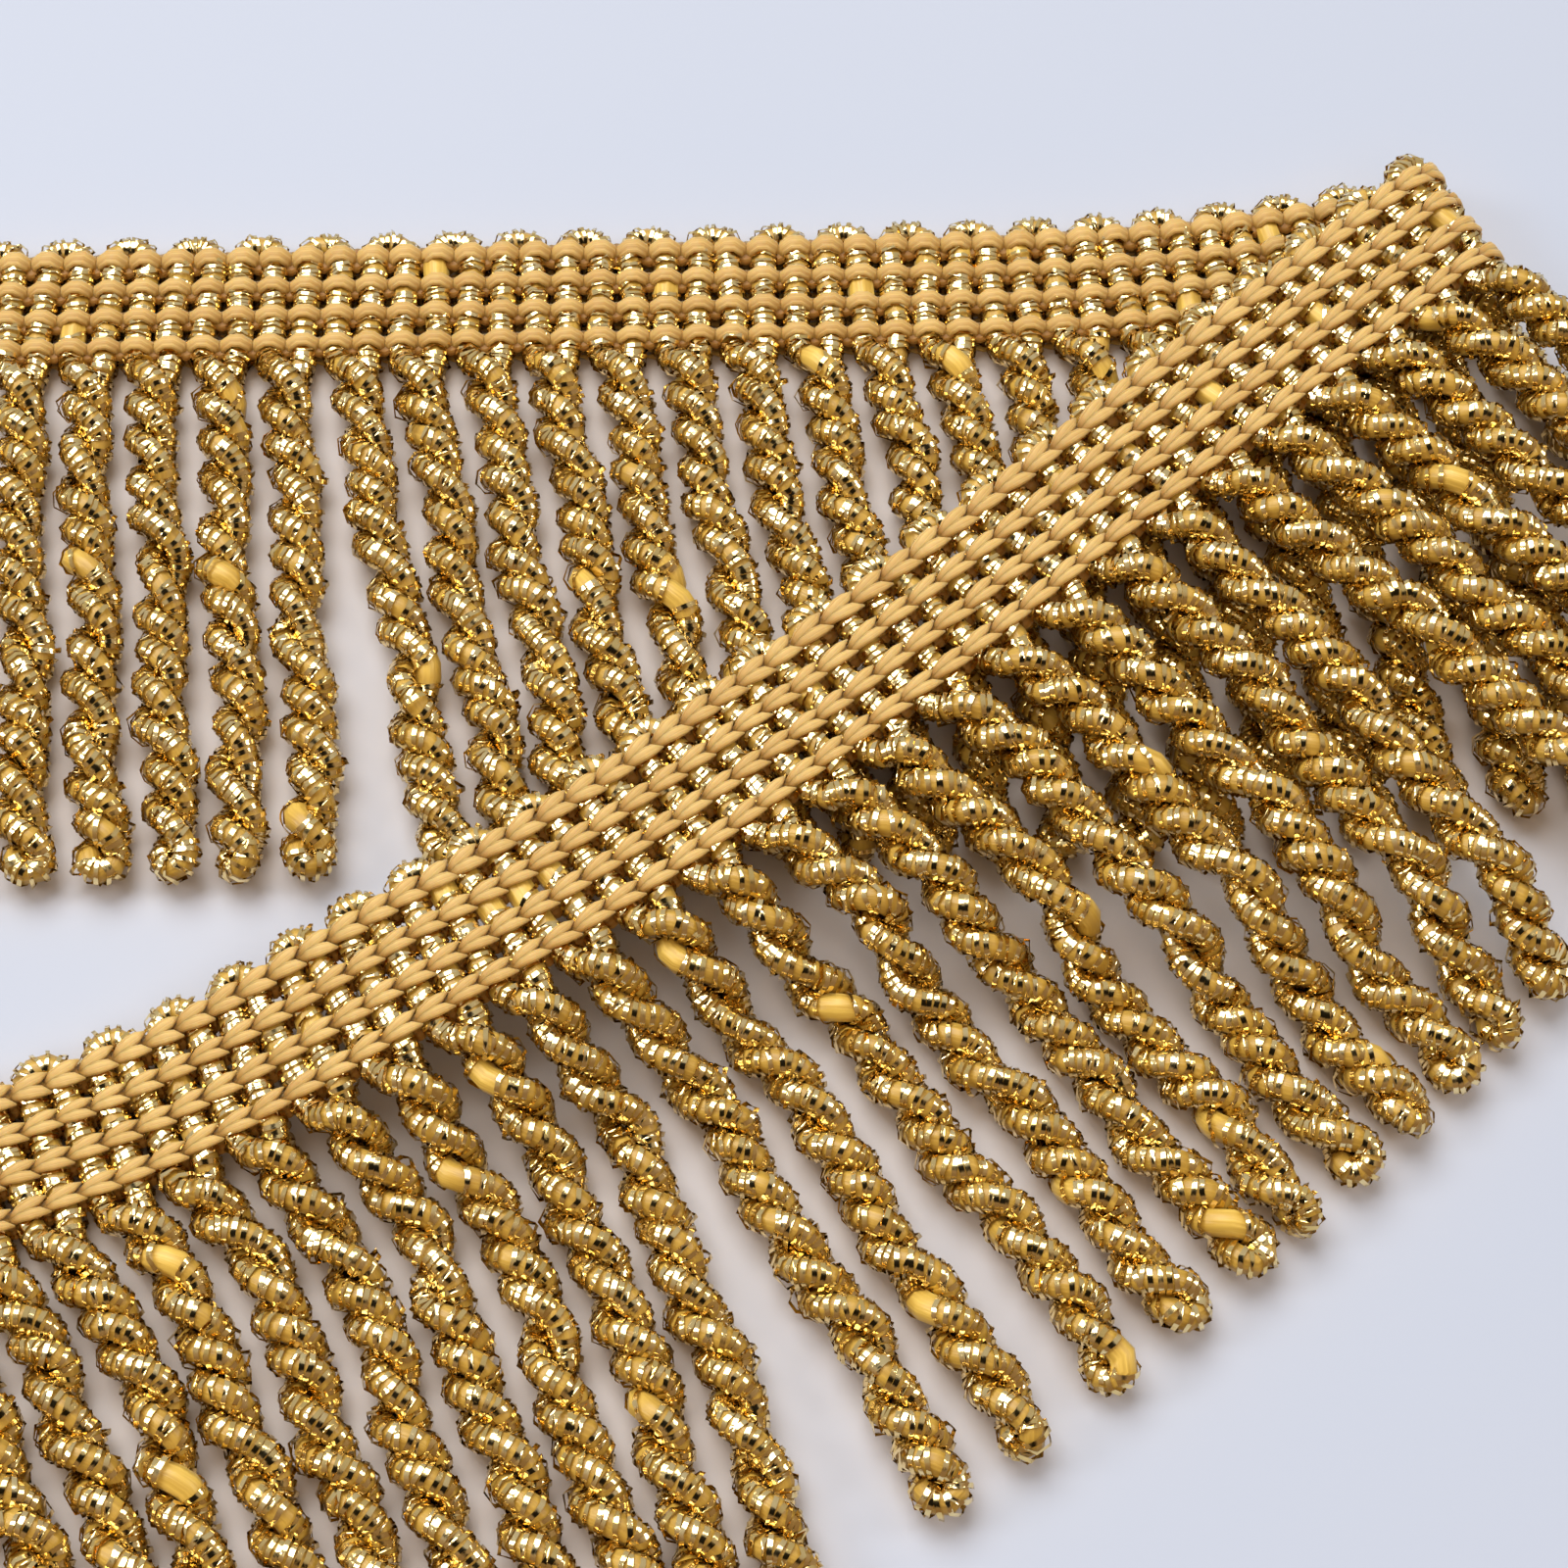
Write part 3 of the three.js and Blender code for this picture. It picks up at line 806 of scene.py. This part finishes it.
def stitch_tree():
    """Puts a stitch on every point, towards -X with its chain face down, as one mesh."""
    tree = bpy.data.node_groups.new("Chain rows", "GeometryNodeTree")
    new_socket(tree, "Geometry", "NodeSocketGeometry", "OUTPUT")
    new_socket(tree, "Geometry", "NodeSocketGeometry")
    new_socket(tree, "Stitch", "NodeSocketObject")
    new_socket(tree, "Sway", "NodeSocketFloat")
    new_socket(tree, "Seed", "NodeSocketInt")
    new_socket(tree, "Material", "NodeSocketMaterial")
    given = tree.nodes.new("NodeGroupInput").outputs

    number = tree.nodes.new("GeometryNodeInputIndex").outputs[0]
    sway = vectors(
        tree, "SCALE",
        add_node(tree, "FunctionNodeRandomValue",
                 {"ID": number, "Seed": given["Seed"], 0: (-1, -1, -1), 1: (1, 1, 1)},
                 data_type="FLOAT_VECTOR").outputs[0],
        given["Sway"],
    )
    turned = add_node(
        tree, "FunctionNodeAxesToRotation",
        {"Primary Axis": vectors(tree, "ADD", (-1, 0, 0), sway), "Secondary Axis": (0, 0, -1)},
        primary_axis="X", secondary_axis="Z",
    ).outputs[0]
    size = add_node(
        tree, "GeometryNodeInputNamedAttribute", {"Name": "size"}, data_type="FLOAT_VECTOR",
    ).outputs[0]
    stitch = add_node(tree, "GeometryNodeObjectInfo", {"Object": given["Stitch"]})
    rows = add_node(
        tree, "GeometryNodeInstanceOnPoints",
        {"Points": given["Geometry"], "Instance": stitch.outputs["Geometry"], "Rotation": turned,
         "Scale": size},
    ).outputs[0]
    rows = add_node(
        tree, "GeometryNodeStoreNamedAttribute",
        {"Geometry": rows, "Name": "tone",
         "Value": random_value(tree, given["Seed"], number)},
        data_type="FLOAT", domain="INSTANCE",
    ).outputs[0]
    rows = add_node(tree, "GeometryNodeRealizeInstances", {"Geometry": rows}).outputs[0]
    rows = add_node(
        tree, "GeometryNodeSetMaterial", {"Geometry": rows, "Material": given["Material"]},
    ).outputs[0]
    end = tree.nodes.new("NodeGroupOutput")
    tree.links.new(rows, end.inputs[0])
    return tree


# Materials


def filament_group():
    """Fine filaments that run along a yarn: a value for colour and a height for bump."""
    tree = bpy.data.node_groups.new("Yarn filaments", "ShaderNodeTree")
    new_socket(tree, "Fineness", "NodeSocketFloat", value=6.0)
    new_socket(tree, "Stretch", "NodeSocketFloat", value=300.0)
    new_socket(tree, "Shade", "NodeSocketFloat", "OUTPUT")
    new_socket(tree, "Height", "NodeSocketFloat", "OUTPUT")
    given = tree.nodes.new("NodeGroupInput").outputs
    around = add_node(tree, "ShaderNodeAttribute", attribute_name="round").outputs["Vector"]
    along = add_node(tree, "ShaderNodeAttribute", attribute_name="along").outputs["Fac"]
    lifted = add_node(
        tree, "ShaderNodeCombineXYZ", {"Z": maths(tree, "MULTIPLY", along, given["Stretch"])},
    ).outputs[0]
    place = vectors(tree, "ADD", vectors(tree, "SCALE", around, given["Fineness"]), lifted)
    fine = add_node(
        tree, "ShaderNodeTexNoise", {"Vector": place, "Scale": 1.0, "Detail": 3.0},
    ).outputs[0]
    broad = add_node(
        tree, "ShaderNodeTexNoise", {"Vector": place, "Scale": 0.3, "Detail": 1.0},
    ).outputs[0]
    end = tree.nodes.new("NodeGroupOutput")
    tree.links.new(maths(tree, "ADD", maths(tree, "MULTIPLY", fine, 0.6),
                         maths(tree, "MULTIPLY", broad, 0.4)), end.inputs["Shade"])
    tree.links.new(fine, end.inputs["Height"])
    return tree


def yarn_material(name, shade_colour, dark, light, filaments, fineness, stretch, settings):
    """A yarn of fine filaments, from dark to light, with shade painted on where it lies deep."""
    material = bpy.data.materials.new(name)
    material.use_nodes = True
    tree = material.node_tree
    shader = tree.nodes["Principled BSDF"]
    group = add_node(tree, "ShaderNodeGroup", node_tree=filaments)
    group.inputs["Fineness"].default_value = fineness
    group.inputs["Stretch"].default_value = stretch
    tone = add_node(tree, "ShaderNodeAttribute", attribute_name="tone").outputs["Fac"]
    shade = maths(tree, "ADD", group.outputs["Shade"], maths(tree, "MULTIPLY", tone, 0.08))
    inputs = {"Value": shade, "From Min": 0.38, "From Max": 0.68}
    share = add_node(tree, "ShaderNodeMapRange", inputs).outputs[0]
    # Painted shade: the yarn is darkened where it lies deep in the knitting or under the tape
    hollow = add_node(tree, "ShaderNodeAttribute", attribute_name="hollow").outputs["Fac"]
    share = maths(tree, "MULTIPLY", maths(tree, "MULTIPLY_ADD", share, 0.65, 0.35),
                  maths(tree, "MULTIPLY_ADD", hollow, -0.9, 1.0))
    colour = add_node(tree, "ShaderNodeValToRGB", {"Fac": share})
    ramp = colour.color_ramp.elements
    # the deepest colour is painted shade
    ramp[0].color = (*shade_colour, 1)
    ramp[1].color = (*light, 1)
    ramp.new(0.35).color = (*dark, 1)
    tree.links.new(colour.outputs[0], shader.inputs["Base Color"])
    bump = add_node(
        tree, "ShaderNodeBump",
        {"Height": group.outputs["Height"], "Strength": 0.3, "Distance": 0.0002},
    )
    tree.links.new(bump.outputs[0], shader.inputs["Normal"])
    for socket, value in settings.items():
        shader.inputs[socket].default_value = value
    return material


def tape_material():
    """Flat metallised tape, each wrap a little different in tone and polish."""
    material = bpy.data.materials.new("gold_tape")
    material.use_nodes = True
    tree = material.node_tree
    shader = tree.nodes["Principled BSDF"]
    tone = add_node(tree, "ShaderNodeAttribute", attribute_name="tone").outputs["Fac"]
    place = add_node(tree, "ShaderNodeTexCoord").outputs["Object"]
    crinkle = add_node(
        tree, "ShaderNodeTexNoise", {"Vector": place, "Scale": 2600.0, "Detail": 2.0},
    ).outputs[0]
    colour = add_node(tree, "ShaderNodeValToRGB", {"Fac": tone})
    colour.color_ramp.elements[0].color = (0.85, 0.615, 0.22, 1)
    colour.color_ramp.elements[1].color = (0.96, 0.765, 0.39, 1)
    tree.links.new(colour.outputs[0], shader.inputs["Base Color"])
    shader.inputs["Metallic"].default_value = 1.0
    polish = add_node(
        tree, "ShaderNodeMapRange", {"Value": crinkle, "To Min": 0.06, "To Max": 0.17},
    ).outputs[0]
    tree.links.new(polish, shader.inputs["Roughness"])
    bump = add_node(
        tree, "ShaderNodeBump", {"Height": crinkle, "Strength": 0.25, "Distance": 0.00008},
    )
    tree.links.new(bump.outputs[0], shader.inputs["Normal"])
    return material


def table_material():
    """A smooth pale table top, with warm light from the gold painted on it between the strands."""
    material = bpy.data.materials.new("pale_table")
    material.use_nodes = True
    tree = material.node_tree
    shader = tree.nodes["Principled BSDF"]
    place = add_node(tree, "ShaderNodeTexCoord").outputs["Object"]
    cloud = add_node(
        tree, "ShaderNodeTexNoise", {"Vector": place, "Scale": 9.0, "Detail": 2.0},
    ).outputs[0]
    colour = add_node(tree, "ShaderNodeValToRGB", {"Fac": cloud})
    colour.color_ramp.elements[0].color = (0.335, 0.38, 0.475, 1)
    colour.color_ramp.elements[1].color = (0.365, 0.41, 0.505, 1)
    # Painted light: where the strands shelter the table its colour is painted warmer and lighter,
    # standing in for the light the gold throws back and forth.
    shelter = add_node(tree, "ShaderNodeAmbientOcclusion", {"Distance": PAINTED_GLOW_REACH * MM}, samples=2)
    openness = add_node(
        tree, "ShaderNodeMapRange",
        {"Value": shelter.outputs["AO"], "From Min": 0.05, "From Max": 0.85},
        interpolation_type="SMOOTHSTEP",
    )
    painted_glow = add_node(tree, "ShaderNodeMix", data_type="RGBA")
    colour_in = [socket for socket in painted_glow.inputs if socket.type == "RGBA"]
    tree.links.new(openness.outputs["Result"], painted_glow.inputs[0])
    colour_in[0].default_value = (0.56, 0.485, 0.43, 1)
    tree.links.new(colour.outputs[0], colour_in[1])
    mixed = [socket for socket in painted_glow.outputs if socket.type == "RGBA"][0]
    tree.links.new(mixed, shader.inputs["Base Color"])
    shader.inputs["Roughness"].default_value = 0.6
    return material


filaments = filament_group()
chain_yarn = yarn_material(
    "tan_chain_yarn", (0.26, 0.115, 0.018), (0.37, 0.21, 0.05), (0.585, 0.415, 0.147),
    filaments, 4.5, 500.0,
    {"Roughness": 0.5, "Sheen Weight": 0.25, "Sheen Roughness": 0.4,
     "Sheen Tint": (1.0, 0.85, 0.6, 1), "Specular IOR Level": 0.35,
     "Subsurface Weight": 0.3, "Subsurface Radius": (1.0, 0.5, 0.15), "Subsurface Scale": 0.0006},
)
core_yarn = yarn_material(
    "yellow_core_yarn", (0.31, 0.175, 0.025), (0.48, 0.30, 0.045), (0.75, 0.53, 0.11),
    filaments, 3.5, 260.0,
    {"Roughness": 0.4, "Sheen Weight": 0.15, "Sheen Roughness": 0.4,
     "Sheen Tint": (1.0, 0.85, 0.5, 1), "Specular IOR Level": 0.5},
)
gold_tape = tape_material()


# The trim's pieces


def trim_piece(made, name, nodes, knitted_flat=False):
    """A finished piece that stands for its CAD nodes, folded first if it was knitted flat."""
    piece = baked(made, name)
    places = np.empty(3 * len(piece.data.vertices), dtype=np.float32)
    piece.data.vertices.foreach_get("co", places)
    places = places.reshape(-1, 3)
    if knitted_flat:
        s, across_by, lift = places.T / MM
        places = (on_strip(s, -across_by, lift) * MM).astype(np.float32)
    places[:, 2] = np.maximum(places[:, 2], TABLE_CLEAR * MM)
    piece.data.vertices.foreach_set("co", places.ravel())
    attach(piece, "root")
    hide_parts(*nodes)
    return piece


gimp = gimp_tree()
GIMP_SIZES = {
    "Core Radius": CORE_RADIUS * MM,
    "Core Step": CORE_STEP * MM,
    "Tape Radius": TAPE_RADIUS * MM,
    "Tape Width": TAPE_WIDTH * MM,
    "Tape Thickness": TAPE_THICK * MM,
    "Wrap Pitch": WRAP_PITCH * MM,
    "Unevenness": UNEVENNESS,
    "Flare": FLARE * MM,
    "Flare Share": FLARE_SHARE,
    "Bare Spacing": BARE_SPACING * MM,
    "Bare Share": BARE_SHARE,
    "Tape Sides": TAPE_SIDES,
    "Core Sides": CORE_SIDES,
    "Core Material": core_yarn,
    "Tape Material": gold_tape,
}

# Middle lines of all strands, the front ones laid over the rear ones
rear_plans = []
strand_middles = []
for strand in range(STRANDS):
    plan, root_height = strand_plan(strand)
    under = [] if strand < FIRST_FRONT else rear_plans
    heights = strand_heights(plan, root_height, under)
    if strand < FIRST_FRONT:
        rear_plans.append(plan)
    strand_middles.append(np.column_stack((plan, heights)))

for number, group in enumerate(STRAND_GROUPS):
    paths = []
    for strand in range(group["first"], group["end"]):
        random = np.random.default_rng(STRAND_SEED + strand)
        paths.append(strand_path(strand, strand_middles[strand], random))
    lines = path_object(group["name"] + "_lines", paths)
    with_tree(lines, gimp, {**GIMP_SIZES, "Seed": FRINGE_SEED + FRINGE_SEED_STEP * number})
    trim_piece(lines, group["name"], [group["node"]])

arches = [arch_path(k - 0.5, np.random.default_rng(ARCH_SEED + k)) for k in range(STRANDS + 1)]
lines = path_object("heading_gimp_lines", arches)
with_tree(lines, gimp, {
    **GIMP_SIZES,
    "Core Radius": HEADING_GIMP * CORE_RADIUS * MM,
    "Tape Radius": HEADING_GIMP * TAPE_RADIUS * MM,
    "Tape Width": HEADING_TAPE_WIDTH * MM,
    "Flare": HEADING_FLARE * MM,
    "Bare Share": HEADING_BARE_SHARE,
    "Seed": HEADING_SEED,
})
heading_gimp = trim_piece(lines, "heading_gimp", ["heading"], knitted_flat=True)

rows_tree = stitch_tree()
for name, tubes, sway in (
    ("heading_chains", [(LIMB, LIMB_SIDES, 1), (LIMB, LIMB_SIDES, -1), (SPINE, SPINE_SIDES, 1)],
     0.06),
    ("heading_purls", [(PURL, LIMB_SIDES, 1), (UNDER, UNDER_SIDES, 1)], 0.05),
):
    stitch = stitch_object(name + "_stitch", tubes)
    places = stitch_places()
    with_tree(places, rows_tree,
              {"Stitch": stitch, "Sway": sway, "Seed": STITCH_SEED, "Material": chain_yarn})
    trim_piece(places, name, ["heading"], knitted_flat=True)
    bpy.data.objects.remove(stitch)


# Table, light and camera
TABLE_SIZE = 3.0
table_mesh = bpy.data.meshes.new("table")
half = TABLE_SIZE / 2
table_mesh.from_pydata(
    [(-half, -half, 0), (half, -half, 0), (half, half, 0), (-half, half, 0)], [], [(0, 1, 2, 3)],
)
table = bpy.data.objects.new("table", table_mesh)
table.data.materials.append(table_material())
bpy.context.scene.collection.objects.link(table)

LIGHTS_AIM = Vector((0, 0, 0))


def add_softbox(name, place, size, power, colour):
    """A square area light that faces the trim."""
    light = bpy.data.lights.new(name, "AREA")
    light.shape = "SQUARE"
    light.size = size
    light.energy = power
    light.color = colour
    made = bpy.data.objects.new(name, light)
    made.location = place
    made.rotation_euler = (LIGHTS_AIM - Vector(place)).to_track_quat("-Z", "Y").to_euler()
    bpy.context.scene.collection.objects.link(made)
    return made


# The warm fill from the front lights the yarns and isn't mirrored in the tape
add_softbox("back_softbox", (-0.25, 0.45, 0.95), 0.85, 13, (1.0, 0.98, 0.95))
add_softbox("left_softbox", (-0.85, 0.0, 0.6), 0.3, 3.2, (0.97, 0.98, 1.0))
add_softbox("right_softbox", (0.8, 0.1, 0.6), 0.3, 2, (1.0, 1.0, 1.0))
front_fill = add_softbox("front_fill", (0.05, -0.55, 0.95), 0.9, 5.5, (1.0, 0.77, 0.57))
front_fill.visible_glossy = False

# A pale room, bright behind and above, warm low in front, and dark where the photographer stands
SKY_SIDE = (-0.2, 0.62, 0.76)
PHOTOGRAPHER_SIDE = (0, -0.49, 0.87)
world = bpy.data.worlds.new("studio")
world.use_nodes = True
sky = world.node_tree
way = add_node(sky, "ShaderNodeTexCoord").outputs["Generated"]
facing = add_node(sky, "ShaderNodeVectorMath", {0: way, 1: SKY_SIDE}, operation="DOT_PRODUCT")
glow = add_node(
    sky, "ShaderNodeMapRange",
    {"Value": facing.outputs["Value"], "From Min": -0.35, "From Max": 0.95},
    interpolation_type="SMOOTHSTEP",
).outputs[0]
behind = add_node(
    sky, "ShaderNodeVectorMath", {0: way, 1: PHOTOGRAPHER_SIDE}, operation="DOT_PRODUCT",
)
clear = add_node(
    sky, "ShaderNodeMapRange",
    {"Value": behind.outputs["Value"], "From Min": 0.84, "From Max": 0.95, "To Min": 1.0,
     "To Max": 0.03},
    interpolation_type="SMOOTHSTEP",
).outputs[0]
shades = add_node(sky, "ShaderNodeValToRGB", {"Fac": glow})
shades.color_ramp.elements[0].color = (0.26, 0.17, 0.10, 1)
shades.color_ramp.elements[1].color = (0.52, 0.52, 0.53, 1)
shades.color_ramp.elements.new(0.4).color = (0.38, 0.29, 0.21, 1)
sky.links.new(shades.outputs[0], sky.nodes["Background"].inputs[0])
sky.links.new(clear, sky.nodes["Background"].inputs[1])
bpy.context.scene.world = world

CAMERA_PITCH = 60.75
CAMERA_DISTANCE = 0.1854
CAMERA_LENS = 67.5
aim = Vector((-PLAN_CENTRE[0] * MM, -PLAN_CENTRE[1] * MM, 0))
camera_data = bpy.data.cameras.new("camera")
camera_data.lens = CAMERA_LENS
camera_data.sensor_width = 36
camera_data.clip_start = 0.01
camera = bpy.data.objects.new("camera", camera_data)
pitch = math.radians(CAMERA_PITCH)
camera.location = aim + CAMERA_DISTANCE * Vector((0, -math.cos(pitch), math.sin(pitch)))
camera.rotation_euler = (math.pi / 2 - pitch, 0, 0)
bpy.context.scene.collection.objects.link(camera)
bpy.context.scene.camera = camera
bpy.context.scene.view_settings.view_transform = "Standard"
bpy.context.scene.cycles.max_bounces = 8
bpy.context.scene.cycles.sample_clamp_indirect = 2.0
